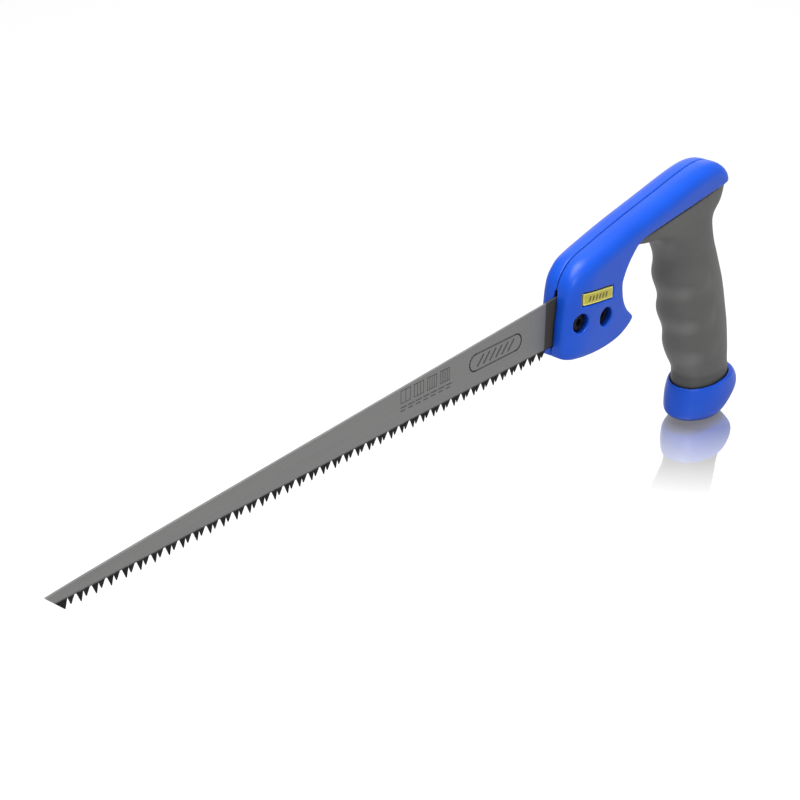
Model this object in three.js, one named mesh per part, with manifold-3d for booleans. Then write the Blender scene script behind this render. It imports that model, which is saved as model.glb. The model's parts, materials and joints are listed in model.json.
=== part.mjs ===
// Drywall saw: tapered compass blade clamped between the two halves of a pistol-grip handle.
//
// Frame (mm): +X runs along the tooth line from the blade's point to the handle, +Y is the
// saw's right-hand side, +Z is up. The model is drawn with X = 0 at the front of the handle's
// head, Z = 0 on the tooth line and Y = 0 at mid-blade, then moved so that the origin is the
// bottom centre of the whole saw standing on its base cap.

import * as THREE from 'three';
import { mergeVertices } from 'three/addons/utils/BufferGeometryUtils.js';
import Module from 'manifold-3d';

const wasm = await Module();
wasm.setup();

// ---------------------------------------------------------------- driving dimensions

const GAP = 0.3;                       // running gap between neighbouring pieces

const BLADE = {
  toothed: 300,                        // toothed length ahead of the head
  thickness: 1.1,
  backAtHead: 30.4,                    // height of the back above the tooth line
  backAtPoint: 8.6,
  belly: 0.7,                          // how far the back bows up behind the point
  pointReach: 8,                       // how far the point stands ahead of the last tooth
  pitch: 25.4 / 7,                     // 7 teeth per inch
  toothDepth: 4.3,
  tipWidth: 0.3,
  gulletWidth: 0.55,
  set: 0.35,                           // sideways set of alternate teeth
  bevel: 0.7,                          // ground off a tooth tip's inner side
  rootOverlap: 0.3,                    // how far a tooth's wedge reaches into the plate
  fleam: 0.24,                         // how much longer a tooth is on its set side than midway
  tangLow: 4.6,                        // underside of the tang above the tooth line
  tangEnd: 41,                         // how far the tang reaches into the head
  tangStep: 0.4,                       // where the plate steps up to the tang
  tangCorner: 6,                       // cut off the tang's two corners
  backPoints: 16,
};

const HEAD = { halfWidth: 12, slotTop: 34.4, slotMouth: 5, slotLow: 1.5, slotStep: 1.4 };

const CLAMP = {
  front: { x: 10.4, z: 16.8 },
  rear: { x: 30, z: 14.4 },
  recess: 5.2,                         // radius of the round wells over screw and nut
  floor: 2.8,                          // well floor's distance from mid-blade
  washer: 0.6,
  washerRadius: 4.8,
  headRadius: 4.25,                    // M5 socket cap screw
  headHeight: 5,
  socketFlats: 4,
  socketDepth: 2.5,
  shank: 2.5,
  shankEnd: 8.1,
  nutFlats: 8,
  nutHeight: 4,
  nutWell: 7.6,                        // depth of the round well over the nut, from mid-blade
  bushRadius: 3.6,
  bushHalfLength: 1.4,
};

const LABEL = {
  corners: [[10.9, 26.4], [34.6, 23.8], [34.3, 30.1], [10.6, 32.8]],
  thickness: 0.8,
  recess: 0.25,                        // how far it lies under the head's surface
};

const SEAM_GAP = 0.5;                  // groove between the blue shells and the grey sleeve
const STEM_END = -78;
const CAP = {
  bottom: -89.8,
  centre: 147.5,
  sleeveFloor: -72,                    // floor of the recess that takes the sleeve's end
  seat: -82.2,
  screwX: 147,
};
const STEM_SCREWS = [{ x: 117.5, z: 22 }, { x: 138.5, z: -38 }];
const STEM_SCREW = { shank: 1.5, head: 3, headHeight: 1.9, seat: 8.4, end: 8 };
const CAP_SCREW = { shank: 2, head: 4, headHeight: 2.4, well: 4.7, top: -62 };

// ---------------------------------------------------------------- small geometry tools

const COLOURS = {
  blue: { color: 0x2f4fd8, roughness: 0.38, metalness: 0 },
  grey: { color: 0x5b5b5b, roughness: 0.75, metalness: 0 },
  steel: { color: 0x8a8a88, roughness: 0.42, metalness: 0.9 },
  zinc: { color: 0xb9bcc0, roughness: 0.35, metalness: 0.95 },
  black: { color: 0x24242a, roughness: 0.5, metalness: 0.7 },
  yellow: { color: 0xc6b93a, roughness: 0.5, metalness: 0 },
};

function toSolid(geometry) {
  const bare = geometry.clone();
  bare.deleteAttribute('normal');
  bare.deleteAttribute('uv');
  const merged = mergeVertices(bare, 1e-4);
  return new wasm.Manifold(new wasm.Mesh({
    numProp: 3,
    vertProperties: new Float32Array(merged.attributes.position.array),
    triVerts: new Uint32Array(merged.index.array),
  }));
}

function toGeometry(solid) {
  const mesh = solid.getMesh();
  const geometry = new THREE.BufferGeometry();
  geometry.setAttribute('position', new THREE.BufferAttribute(mesh.vertProperties, 3));
  geometry.setIndex(new THREE.BufferAttribute(mesh.triVerts, 1));
  geometry.computeVertexNormals();
  return geometry;
}

function join(first, ...others) {
  return others.reduce((sum, other) => sum.add(other), first);
}

// A flat outline in X and Z, given as [x, z] pairs, thickened from y0 to y1.
function prism(outline, y0, y1) {
  const shape = new THREE.Shape(outline.map(([x, z]) => new THREE.Vector2(x, z)));
  const geometry = new THREE.ExtrudeGeometry(shape, { depth: y1 - y0, bevelEnabled: false });
  geometry.rotateX(Math.PI / 2);       // outline's Y becomes +Z, depth runs towards -Y
  geometry.translate(0, y1, 0);
  return geometry;
}

// A cylinder along Y between y0 and y1.
function rod(x, z, radius, y0, y1, sides = 24, radiusAtY1 = radius) {
  const geometry = new THREE.CylinderGeometry(radiusAtY1, radius, y1 - y0, sides);
  geometry.translate(x, (y0 + y1) / 2, z);
  return geometry;
}

// A cylinder along Z between z0 and z1.
function post(x, z0, z1, radius, sides = 24) {
  const geometry = new THREE.CylinderGeometry(radius, radius, z1 - z0, sides);
  geometry.rotateX(Math.PI / 2);
  geometry.translate(x, 0, (z0 + z1) / 2);
  return geometry;
}

// Skins a stack of closed planar rings, each a list of Vector3 with the same count, and closes
// both ends. The ends lie in the plane of the two named axes.
function skin(rings, axisU, axisV) {
  const count = rings[0].length;
  const positions = rings.flat().flatMap((point) => [point.x, point.y, point.z]);
  const index = [];
  for (let ring = 0; ring + 1 < rings.length; ring += 1) {
    for (let i = 0; i < count; i += 1) {
      const a = ring * count + i;
      const b = ring * count + ((i + 1) % count);
      index.push(a, b, b + count, a, b + count, a + count);
    }
  }
  [0, rings.length - 1].forEach((ring) => {
    const flat = rings[ring].map((point) => new THREE.Vector2(point[axisU], point[axisV]));
    const turn = Math.sign(THREE.ShapeUtils.area(flat)) * (ring === 0 ? -1 : 1);
    const base = ring * count;
    THREE.ShapeUtils.triangulateShape(flat, []).forEach(([a, b, c]) => {
      const faceTurn = Math.sign(THREE.ShapeUtils.area([flat[a], flat[b], flat[c]]));
      if (faceTurn === turn) index.push(base + a, base + b, base + c);
      else index.push(base + a, base + c, base + b);
    });
  });
  if (signedVolume(positions, index) < 0) index.reverse();
  const geometry = new THREE.BufferGeometry();
  geometry.setAttribute('position', new THREE.Float32BufferAttribute(positions, 3));
  geometry.setIndex(index);
  return geometry;
}

// The same geometry on the other side of mid-blade.
function mirrored(geometry) {
  const copy = geometry.clone();
  copy.scale(1, -1, 1);
  copy.setIndex(Array.from(copy.index.array).reverse());
  return copy;
}

function signedVolume(positions, index) {
  const corner = (i) => new THREE.Vector3().fromArray(positions, 3 * index[i]);
  let sum = 0;
  for (let i = 0; i < index.length; i += 3) {
    sum += corner(i).dot(corner(i + 1).cross(corner(i + 2)));
  }
  return sum / 6;
}

// Points at even steps of the parameter along a smooth curve through keys.
function smooth(keys, count, closed) {
  const curve = new THREE.CatmullRomCurve3(keys, closed, 'catmullrom', 0.5);
  const last = closed ? count : count - 1;
  return Array.from({ length: count }, (_, i) => curve.getPoint(i / last));
}

// ---------------------------------------------------------------- handle shells, outer shape

// The side outline of head and arm at the parting plane, clockwise from the head's lower front
// corner. Each key is [x, z, towardsX, towardsZ, wall]: the second pair is how far the outline
// moves in before the side face is flat, and wall is the height of the upright wall under that
// rounding. The arm runs on below the seam, where it is cut away for the sleeve.
const SHELL_KEYS = [
  [0.4, -0.2, 18.4, 4.8, 5],
  [0, 6, 21.5, 2.5, 5],
  [0.2, 15, 24, 0, 5],
  [1.2, 24.5, 23, -2, 5],
  [2, 33, 21, -5, 4.8],
  [3.9, 39.4, 16.5, -8, 4.4],
  [7.6, 44.2, 11, -10, 3.4],
  [13, 48, 6, -10.5, 2.6],
  [23.5, 51.1, 3, -9.6, 2.4],
  [48.9, 57.5, 2.2, -9.2, 2.4],
  [75, 63.2, 2.2, -9.2, 2.4],
  [101, 68.9, 2.2, -9.2, 2.4],
  [114, 71.2, 1.2, -9.4, 2.4],
  [124, 71.6, -1, -9.5, 2.6],
  [132.5, 69.8, -4.5, -8.5, 3],
  [139.4, 65.8, -7.5, -5.5, 3],
  [142.8, 61, -9, -2, 3],
  [142.6, 56, -9, 0, 3],
  [139, 47, -9, 1, 3],
  [132, 39.5, -6, 4, 5],
  [110, 36.5, 0, 3, 9],
  [85, 37, 0, 3, 9],
  [66, 38.5, -1, 3, 9.5],
  [60, 44, -1, 2.5, 9.8],
  [55.4, 44.4, -2, 2, 9.8],
  [51.8, 41.2, -2.6, 1.4, 9.8],
  [48.4, 37, -2.6, 1.2, 9.8],
  [45.8, 32.4, -2.7, 0.8, 9.8],
  [44.4, 27.6, -2.8, 0.2, 9.8],
  [46, 19, -2.8, -0.8, 9.8],
  [49.6, 12.4, -2.6, -0.8, 9.8],
  [54.6, 7.4, -2.6, -0.6, 9.8],
  [55.4, 5.6, -3, 0.4, 9.8],
  [53.2, 3, -2, 2, 9.6],
  [48.5, 0, -1, 2.6, 9.6],
  [42, -2.4, -0.4, 2.8, 9.4],
  [31, -4, 1, 3.4, 9],
  [18, -4.2, 6.5, 4, 7.8],
  [7, -3.2, 13.5, 4.2, 6.4],
  [2, -1.8, 16.5, 4, 5.4],
];
const OUTLINE_POINTS = 96;
const ROUNDING_STEPS = 5;
const ROUNDING_POWER = 0.86;           // 1 is a plain ellipse, less is squarer

// One half of the blue body on the +Y side, from the parting plane to the side face.
function shellOuter() {
  const outlineKeys = SHELL_KEYS.map(([x, z]) => new THREE.Vector3(x, 0, z));
  const moveKeys = SHELL_KEYS.map(([, , dx, dz, wall]) => new THREE.Vector3(dx, wall, dz));
  const outline = smooth(outlineKeys, OUTLINE_POINTS, true);
  const moves = smooth(moveKeys, OUTLINE_POINTS, true);
  const rings = [outline.map((point) => new THREE.Vector3(point.x, GAP / 2, point.z))];
  for (let step = 0; step <= ROUNDING_STEPS; step += 1) {
    const angle = (step / ROUNDING_STEPS) * Math.PI / 2;
    const inward = 1 - Math.cos(angle) ** ROUNDING_POWER;
    const outward = Math.sin(angle) ** ROUNDING_POWER;
    rings.push(outline.map((point, i) => new THREE.Vector3(
      point.x + moves[i].x * inward,
      moves[i].y + (HEAD.halfWidth - moves[i].y) * outward,
      point.z + moves[i].z * inward)));
  }
  return skin(rings, 'x', 'z');
}

// The seam between blue and grey, from the head's rear edge to the back of the arm.
const SEAM_KEYS = [
  [54, 45.4], [58.9, 47.9], [68.3, 49.7], [85.6, 51.9], [103.3, 54.2],
  [121.3, 56.6], [138, 58.6], [160, 61.3],
];

const SEAM_POINTS = 28;

function seamLine(drop) {
  const keys = SEAM_KEYS.map(([x, z]) => new THREE.Vector3(x, 0, z - drop));
  return smooth(keys, SEAM_POINTS, false).map((point) => [point.x, point.z]);
}

// ---------------------------------------------------------------- grip

// Level slices of the grip's outer surface: [z, front x, rear x, half width, squareness].
const GRIP_KEYS = [
  [64, 48, 145, 11.4, 4],
  [50, 50, 141.5, 11.6, 4],
  [44.4, 56, 137, 12, 3.6],
  [43, 64, 136, 12.2, 3.2],
  [41.4, 74, 134.8, 12.6, 2.9],
  [38.6, 83, 133.8, 13.2, 2.6],
  [33.5, 90.5, 134.2, 14.1, 2.35],
  [26, 95.6, 136.2, 15, 2.2],
  [15.5, 98.6, 141.2, 15.7, 2.15],
  [4, 101.6, 146.9, 16, 2.15],
  [-6.5, 105, 151, 16, 2.15],
  [-17, 108.6, 154.7, 16, 2.15],
  [-28, 112.6, 158.2, 15.8, 2.15],
  [-38, 116, 161, 15.5, 2.15],
  [-47, 119.6, 163.2, 15, 2.15],
  [-53, 123.6, 164.6, 14.2, 2.15],
  [-57, 125.6, 165.8, 13.7, 2.15],
  [-61, 126, 167.4, 13.6, 2.15],
  [-67.5, 126.4, 168.6, 13.6, 2.15],
  [-74, 127.2, 170.2, 13.6, 2.15],
];
const FINGER = { swell: 0.8, spacing: 24.4, crest: 8, top: 34, low: -50 };
function superellipse(centre, halfLength, halfWidth, power, z, sides) {
  const bend = (value) => Math.sign(value) * Math.abs(value) ** (2 / power);
  return Array.from({ length: sides }, (_, i) => {
    const angle = (i / sides) * Math.PI * 2;
    return new THREE.Vector3(
      centre + halfLength * bend(Math.cos(angle)),
      halfWidth * bend(Math.sin(angle)),
      z);
  });
}

// The grip's front rises a little between the fingers.
function fingerSwell(z) {
  const { swell, spacing, crest, top, low } = FINGER;
  if (z > top || z < low) return 0;
  const fade = Math.sin(Math.PI * (z - low) / (top - low)) ** 0.5;
  return swell * fade * Math.cos(2 * Math.PI * (z - crest) / spacing);
}

// A form's level slices, pulled in by an inset. A form has its keys, the number of slices and
// of sides in each, and how far its front swells at a given height.
function formRings({ keys, levels, sides, swell }, inset = 0) {
  const endKeys = keys.map(([z, front, rear]) => new THREE.Vector3(front, rear, z));
  const widthKeys = keys.map(([, , , half, power]) => new THREE.Vector3(half, power, 0));
  const widths = smooth(widthKeys, levels, false);
  return smooth(endKeys, levels, false).map((end, i) => {
    const front = end.x - swell(end.z);
    const halfLength = (end.y - front) / 2 - inset;
    const { x: halfWidth, y: power } = widths[i];
    return superellipse((front + end.y) / 2, halfLength, halfWidth - inset, power, end.z, sides);
  });
}

function gripLoft(form, inset = 0) {
  return skin(formRings(form, inset), 'x', 'y');
}

const noSwell = () => 0;
const GRIP_FORM = { keys: GRIP_KEYS, levels: 36, sides: 32, swell: fingerSwell };

// The stem is the shells' own core inside the sleeve, a plain tapering oval.
const STEM_KEYS = [
  [60, 99, 131, 10.5, 2.3],
  [44, 99.5, 130.2, 10.5, 2.3],
  [34, 99.6, 130.2, 10.7, 2.2],
  [15, 102.4, 137.2, 12, 2.2],
  [-6, 109, 147.6, 12.3, 2.2],
  [-28, 116.6, 155.2, 12.1, 2.2],
  [-47, 123.4, 160.4, 11.4, 2.2],
  [-58, 129.4, 162, 10.2, 2.2],
  [STEM_END, 134.5, 163, 9.8, 2.2],
];
const STEM_FORM = { keys: STEM_KEYS, levels: 14, sides: 20, swell: noSwell };

// ---------------------------------------------------------------- base cap

// Slices of the boot: [z, front x, rear x, half width, squareness, slope]. Each slice rises
// towards the rear by its slope.
const CAP_KEYS = [
  [-64.8, 124.8, 170.2, 15.2, 2.15, 0.04],
  [-66.8, 124, 172.8, 16, 2.15, 0.06],
  [-71.2, 123, 175.8, 16.8, 2.15, 0.08],
  [-76, 122.6, 177, 16.9, 2.15, 0.1],
  [-80.6, 123, 175.8, 16.3, 2.15, 0.15],
  [-84.8, 127, 170.6, 15.1, 2.15, 0.12],
  [-88.2, 132.6, 164, 12.9, 2.15, 0.04],
  [CAP.bottom, 137.2, 157.8, 9.6, 2.15, 0],
];
const CAP_FORM = { keys: CAP_KEYS, levels: 15, sides: 32, swell: noSwell };

function capLoft() {
  const slopeKeys = CAP_KEYS.map(([, , , , , slope]) => new THREE.Vector3(slope, 0, 0));
  const slopes = smooth(slopeKeys, CAP_FORM.levels, false);
  const leaning = formRings(CAP_FORM).map((slice, i) => slice.map(({ x, y, z }) => (
    new THREE.Vector3(x, y, z + slopes[i].x * (x - CAP.centre)))));
  return skin(leaning, 'x', 'y');
}

// ---------------------------------------------------------------- assembly

const materials = Object.fromEntries(Object.entries(COLOURS).map(([name, values]) => [
  name, new THREE.MeshStandardMaterial({ name, ...values })]));

const saw = new THREE.Group();
saw.name = 'drywall_saw';

function addPart(name, shape, material) {
  const geometry = shape instanceof THREE.BufferGeometry ? shape : toGeometry(shape);
  const mesh = new THREE.Mesh(geometry, materials[material].clone());
  mesh.name = name;
  saw.add(mesh);
  return mesh;
}

const FAR = 40;                        // further than the handle reaches sideways
const DEEP = -150;                     // below everything

function belowSeam(drop) {
  const outline = [...seamLine(drop), [200, 66], [200, -120], [60, -120], [60, 30]];
  return toSolid(prism(outline, -FAR, FAR));
}

function slab(z0, z1) {
  const geometry = new THREE.BoxGeometry(400, 2 * FAR, z1 - z0);
  geometry.translate(100, 0, (z0 + z1) / 2);
  return toSolid(geometry);
}

function ring(x, z, outer, inner, y0, y1) {
  return toSolid(rod(x, z, outer, y0, y1)).subtract(toSolid(rod(x, z, inner, y0 - 1, y1 + 1)));
}

// Moves an outline's corners away from its centre by a margin along X and Z.
function grow(corners, margin) {
  const centre = corners.reduce((sum, [x, z]) => [sum[0] + x / 4, sum[1] + z / 4], [0, 0]);
  return corners.map(([x, z]) => [
    x + Math.sign(x - centre[0]) * margin,
    z + Math.sign(z - centre[1]) * margin]);
}

// ---------------------------------------------------------------- blade

const POINT_X = -BLADE.toothed - BLADE.pointReach;

// The back rises evenly towards the handle, and curves down a little over the last centimetres.
function backHeight(x) {
  const along = (x - POINT_X) / -POINT_X;
  const line = BLADE.backAtPoint + (BLADE.backAtHead - BLADE.backAtPoint) * along;
  const bow = (1 - Math.exp(-along * 14)) * (1 - along);
  return line + BLADE.belly * bow;
}

// The straight end cut, from the point of the back down to the tip of the corner tooth.
function endCut(z) {
  const tip = BLADE.toothed + BLADE.tipWidth / 2;
  return -tip + (POINT_X + tip) * (z / BLADE.backAtPoint);
}

function bladePlate() {
  const { toothDepth, tangLow, tangEnd, tangStep, tangCorner, backPoints } = BLADE;
  const shoulder = tangEnd - tangCorner;
  const back = Array.from({ length: backPoints }, (_, i) => {
    const x = POINT_X * Math.sin(((i + 1) / (backPoints + 1)) * Math.PI / 2);
    return [x, backHeight(x)];
  });
  return [
    [endCut(toothDepth), toothDepth], [tangStep, toothDepth], [tangStep, tangLow],
    [shoulder, tangLow], [tangEnd, tangLow + tangCorner],
    [tangEnd, backHeight(tangEnd) - tangCorner], [shoulder, backHeight(shoulder)],
    ...back, [POINT_X, BLADE.backAtPoint]];
}

// One tooth: a wedge from the plate down to a narrow tip that is set to one side and ground
// away on its other face. Its flanks are filed at a slant, so that it is longest on its set
// side. Side 0 is the plain corner tooth at the blade's point.
function toothWedge(x, side) {
  const half = BLADE.thickness / 2;
  const rootHalf = BLADE.pitch / 2 - BLADE.gulletWidth / 2;
  const tipHalf = BLADE.tipWidth / 2;
  const rootZ = BLADE.toothDepth + BLADE.rootOverlap;
  const tipY = [-1, 1].map((face) => {
    const ground = side === -face ? BLADE.bevel : 0;
    return face * (half - ground) + side * BLADE.set;
  });
  const level = (front, rear, slant, y, z) => {
    const [near, far] = [-slant * side, slant * side];
    return [
      new THREE.Vector3(front - near, y[0], z), new THREE.Vector3(rear + near, y[0], z),
      new THREE.Vector3(rear + far, y[1], z), new THREE.Vector3(front - far, y[1], z)];
  };
  const front = side === 0 ? endCut(rootZ) : x - rootHalf;
  return skin([
    level(front, x + rootHalf, BLADE.fleam, [-half, half], rootZ),
    level(x - tipHalf, x + tipHalf, BLADE.fleam / 4, tipY, 0)], 'x', 'y');
}

function buildBlade() {
  const half = BLADE.thickness / 2;
  const count = Math.floor(BLADE.toothed / BLADE.pitch);
  const teeth = Array.from({ length: count }, (_, tooth) => {
    const side = tooth === 0 ? 0 : -((-1) ** tooth);
    return toSolid(toothWedge(-BLADE.toothed + tooth * BLADE.pitch, side));
  });
  const body = join(toSolid(prism(bladePlate(), -half, half)), ...teeth);
  const holes = [CLAMP.front, CLAMP.rear].map(
    ({ x, z }) => toSolid(rod(x, z, CLAMP.bushRadius + GAP, -5, 5)));
  return body.subtract(join(...holes));
}

// ---------------------------------------------------------------- shells and sleeve

// Hollows that open on the parting plane, leaving walls, ribs and screw bosses between them.
// Each of the arm's walls is a straight line: its height at one x, and its slope.
const ARM_CEILING = { x: 23.5, z: 46.6, slope: 0.232 };
const ARM_FLOOR = { x: 58.9, z: 50.5, slope: 0.139 };

function armCell(x0, x1) {
  const at = (wall, x) => wall.z + (x - wall.x) * wall.slope;
  return [
    [x0, at(ARM_FLOOR, x0)], [x1, at(ARM_FLOOR, x1)],
    [x1, at(ARM_CEILING, x1)], [x0, at(ARM_CEILING, x0)]];
}

function stemSlice(z) {
  const row = STEM_KEYS.findIndex(([height]) => height <= z);
  const [z1, front1, rear1] = STEM_KEYS[row];
  const [z0, front0, rear0] = STEM_KEYS[row - 1];
  const mix = (z0 - z) / (z0 - z1);
  return [front0 + (front1 - front0) * mix, rear0 + (rear1 - rear0) * mix];
}

const STEM_WALL = 3.4;

function stemCell(z0, z1) {
  const [frontLow, rearLow] = stemSlice(z0);
  const [frontHigh, rearHigh] = stemSlice(z1);
  return [
    [frontLow + STEM_WALL, z0], [rearLow - STEM_WALL, z0],
    [rearHigh - STEM_WALL, z1], [frontHigh + STEM_WALL, z1]];
}

const CELLS = [
  { outline: armCell(62, 77), depth: 8 },
  { outline: armCell(79, 95), depth: 8 },
  { outline: [[13, 37.5], [44, 39], [52, 49], [34, 49.6], [14, 44.4]], depth: 8 },
  { outline: stemCell(30, 47), depth: 7.6 },
  { outline: stemCell(1, 14.5), depth: 8.6 },
  { outline: stemCell(-14, -1), depth: 8.8 },
  { outline: stemCell(-30, -16), depth: 8.6 },
  { outline: stemCell(-57, -46), depth: 7.4 },
];

// The slot that the blade's tang slides into: open at the front, and following the tang behind.
function tangPocket() {
  const clear = BLADE.thickness / 2 + GAP;
  const { slotMouth, slotTop, slotLow, slotStep } = HEAD;
  const outside = -20;
  const end = BLADE.tangEnd + GAP;
  const shoulder = end - BLADE.tangCorner;
  const throat = slotMouth + 1;
  const low = BLADE.tangLow - GAP;
  const top = (x) => backHeight(x) + 1.5 * GAP;
  const outline = [
    [outside, low - slotLow + GAP], [slotStep / 2, low - slotLow + GAP], [slotStep, low],
    [shoulder, low], [end, low + BLADE.tangCorner],
    [end, top(end) - BLADE.tangCorner], [shoulder, top(shoulder)],
    [throat, top(throat)], [slotMouth, slotTop], [outside, slotTop]];
  return toSolid(prism(outline, -clear, clear));
}

// What both halves lose on their inner side; everything here is symmetric about mid-blade.
function innerCuts() {
  const seat = CLAMP.bushHalfLength + GAP;
  const cells = CELLS.map(({ outline, depth }) => toSolid(prism(outline, -depth, depth)));
  const bushSeats = [CLAMP.front, CLAMP.rear].map(
    ({ x, z }) => toSolid(rod(x, z, CLAMP.bushRadius + GAP, -seat, seat)));
  const screwBore = toSolid(
    post(CAP.screwX, STEM_END - 1, CAP_SCREW.top + 1, CAP_SCREW.shank + GAP));
  return join(tangPocket(), ...cells, ...bushSeats, screwBore);
}

// Screw wells and holes from outside: heads on the left (-Y), nuts on the right (+Y).
function leftCuts() {
  const cuts = [CLAMP.front, CLAMP.rear].flatMap(({ x, z }) => [
    toSolid(rod(x, z, CLAMP.recess, -20, -CLAMP.floor)),
    toSolid(rod(x, z, CLAMP.shank + GAP, -20, 1))]);
  STEM_SCREWS.forEach(({ x, z }) => cuts.push(
    toSolid(rod(x, z, STEM_SCREW.head + GAP, -20, -STEM_SCREW.seat)),
    toSolid(rod(x, z, STEM_SCREW.shank + GAP, -20, 1))));
  return join(...cuts);
}

function hexagon(x, z, flats, y0, y1) {
  return rod(x, z, flats / Math.sqrt(3), y0, y1, 6);
}

function rightCuts() {
  const cuts = [CLAMP.front, CLAMP.rear].flatMap(({ x, z }) => [
    toSolid(rod(x, z, CLAMP.recess, CLAMP.nutWell, 20)),
    toSolid(hexagon(x, z, CLAMP.nutFlats + 2 * GAP, CLAMP.floor, 20)),
    toSolid(rod(x, z, CLAMP.shank + GAP, -1, 20))]);
  STEM_SCREWS.forEach(({ x, z }) => cuts.push(
    toSolid(rod(x, z, STEM_SCREW.shank + GAP, -1, STEM_SCREW.end + GAP))));
  return join(...cuts);
}

function halfSpace(side) {
  const geometry = new THREE.BoxGeometry(400, FAR, 400);
  geometry.translate(100, side * (FAR / 2 + GAP / 2), 0);
  return toSolid(geometry);
}

// The badge follows the head's curved side: a slice of the head's own outer layer, between two
// depths under the surface.
function labelLayer(outer, side, margin, top, bottom) {
  const outline = grow(LABEL.corners, margin);
  const column = side > 0 ? prism(outline, 5, 20) : prism(outline, -20, -5);
  const upper = outer.translate([0, -side * top, 0]);
  const under = outer.translate([0, -side * bottom, 0]);
  return toSolid(column).intersect(upper).subtract(under);
}

const seamCut = belowSeam(0);
const hollows = innerCuts();
const stem = toSolid(gripLoft(STEM_FORM));

function buildShell(side) {
  const geometry = shellOuter();
  const outer = toSolid(side > 0 ? geometry : mirrored(geometry));
  const badgeBack = LABEL.recess + LABEL.thickness;
  const badgeBed = labelLayer(outer, side, GAP, -1, badgeBack + GAP);
  const half = join(outer.subtract(seamCut), stem.intersect(halfSpace(side)));
  const shell = half.subtract(join(hollows, side > 0 ? rightCuts() : leftCuts(), badgeBed));
  const badge = labelLayer(outer, side, 0, LABEL.recess, badgeBack);
  return { shell, badge };
}

const sleeveEnd = CAP.sleeveFloor + GAP;
const stemRoom = toSolid(gripLoft(STEM_FORM, -GAP));

function buildSleeve() {
  const outside = toSolid(gripLoft(GRIP_FORM));
  return outside.intersect(belowSeam(SEAM_GAP)).subtract(slab(DEEP, sleeveEnd)).subtract(stemRoom);
}

function buildCap() {
  const outside = toSolid(capLoft());
  const sleeveRoom = toSolid(gripLoft(GRIP_FORM, -GAP))
    .subtract(slab(DEEP, CAP.sleeveFloor));
  const stemSocket = stemRoom.add(stemRoom.translate([0, 0, -GAP]));
  const screwHole = toSolid(post(CAP.screwX, -120, -60, CAP_SCREW.shank + GAP));
  const screwWell = toSolid(post(CAP.screwX, -120, CAP.seat, CAP_SCREW.well));
  return outside.subtract(join(sleeveRoom, stemSocket, screwHole, screwWell));
}

// ---------------------------------------------------------------- fasteners

function crossSlot(x, z, faceY, depth, reach) {
  const bars = [[reach, 0.5], [0.5, reach]].map(([halfX, halfZ]) => {
    const bar = new THREE.BoxGeometry(2 * halfX, 2 * depth, 2 * halfZ);
    bar.translate(x, faceY, z);
    return toSolid(bar);
  });
  return join(...bars);
}

// A cap screw with a hexagon socket and a small chamfer round its face.
function buildClampScrew({ x, z }) {
  const under = -(CLAMP.floor + GAP + CLAMP.washer + GAP);
  const face = under - CLAMP.headHeight;
  const chamfer = 0.5;
  const rim = toSolid(rod(
    x, z, CLAMP.headRadius - chamfer, face, face + chamfer, 32, CLAMP.headRadius));
  const head = toSolid(rod(x, z, CLAMP.headRadius, face + chamfer - 0.01, under, 32));
  const shank = toSolid(rod(x, z, CLAMP.shank, under - 0.5, CLAMP.shankEnd, 24));
  const socket = toSolid(hexagon(
    x, z, CLAMP.socketFlats, face - 1, face + CLAMP.socketDepth));
  return join(head, rim, shank).subtract(socket);
}

function buildStemScrew({ x, z }) {
  const under = -(STEM_SCREW.seat + GAP);
  const face = under - STEM_SCREW.headHeight;
  const { shank: shankRadius, end } = STEM_SCREW;
  const head = toSolid(rod(x, z, STEM_SCREW.head, face, under, 20));
  const shank = toSolid(rod(x, z, shankRadius, under - 0.5, end - 2, 16));
  const tip = toSolid(rod(x, z, shankRadius, end - 2.01, end, 16, 0.3));
  return join(head, shank, tip).subtract(crossSlot(x, z, face, 1, 1.6));
}

function buildCapScrew() {
  const top = CAP.seat - GAP;
  const bottom = top - CAP_SCREW.headHeight;
  const head = toSolid(post(CAP.screwX, bottom, top, CAP_SCREW.head));
  const shank = toSolid(post(CAP.screwX, top - 0.5, CAP_SCREW.top, CAP_SCREW.shank, 16));
  const slots = [[2.4, 0.5], [0.5, 2.4]].map(([halfX, halfY]) => {
    const bar = new THREE.BoxGeometry(2 * halfX, 2 * halfY, 2.4);
    bar.translate(CAP.screwX, 0, bottom);
    return toSolid(bar);
  });
  return join(head, shank).subtract(join(...slots));
}

function buildNut({ x, z }) {
  const y0 = CLAMP.floor + GAP;
  const body = toSolid(hexagon(x, z, CLAMP.nutFlats, y0, y0 + CLAMP.nutHeight));
  return body.subtract(toSolid(rod(x, z, CLAMP.shank + GAP, 0, 20)));
}

// ---------------------------------------------------------------- the saw

addPart('blade', buildBlade(), 'steel');
Object.entries({ left: -1, right: 1 }).forEach(([name, side]) => {
  const { shell, badge } = buildShell(side);
  addPart(`${name}_handle_shell`, shell, 'blue');
  addPart(`${name}_badge_plate`, badge, 'yellow');
});
addPart('grip_sleeve', buildSleeve(), 'grey');
addPart('base_cap', buildCap(), 'blue');
addPart('base_cap_screw', buildCapScrew(), 'zinc');
Object.entries({ front: CLAMP.front, rear: CLAMP.rear }).forEach(([name, place]) => {
  const { x, z } = place;
  const washerFace = -(CLAMP.floor + GAP);
  const bush = ring(x, z, CLAMP.bushRadius, CLAMP.shank + GAP,
    -CLAMP.bushHalfLength, CLAMP.bushHalfLength);
  const washer = ring(x, z, CLAMP.washerRadius, CLAMP.shank + GAP,
    washerFace - CLAMP.washer, washerFace);
  addPart(`${name}_clamp_screw`, buildClampScrew(place), 'black');
  addPart(`${name}_clamp_washer`, washer, 'black');
  addPart(`${name}_clamp_nut`, buildNut(place), 'zinc');
  addPart(`${name}_blade_bush`, bush, 'zinc');
});
addPart('upper_stem_screw', buildStemScrew(STEM_SCREWS[0]), 'zinc');
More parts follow.
